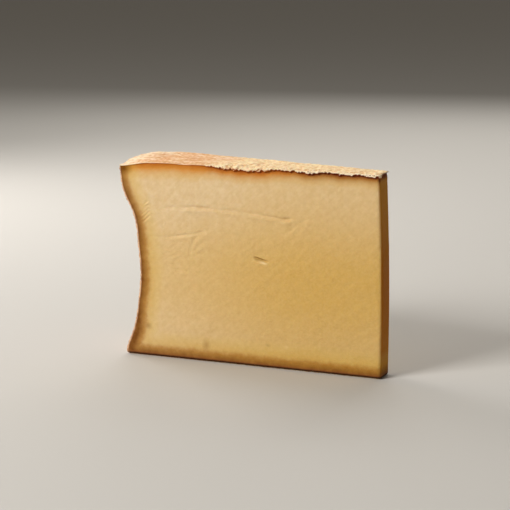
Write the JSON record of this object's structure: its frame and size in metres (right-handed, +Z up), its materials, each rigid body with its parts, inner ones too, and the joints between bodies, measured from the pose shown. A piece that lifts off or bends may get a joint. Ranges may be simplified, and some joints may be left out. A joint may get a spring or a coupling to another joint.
{
  "type": "cheese wedge",
  "caption": "Tall wedge of hard mountain cheese with a hollow rind heel, flat cut faces and a trimmed tip, standing on its base rind.",
  "frame": {"origin": "on the table, under the middle of the wedge's box", "axes": "+X from the rind heel to the trimmed tip, +Y from the shown cut face to the other cut face, +Z up"},
  "size_m": [0.1828, 0.0634, 0.1305],
  "materials": {
    "cheese": "smooth waxy golden paste with a dry peach-coloured rind"
  },
  "bodies": {
    "root": {"cheese_wedge": "cheese"}
  },
  "joints": []
}
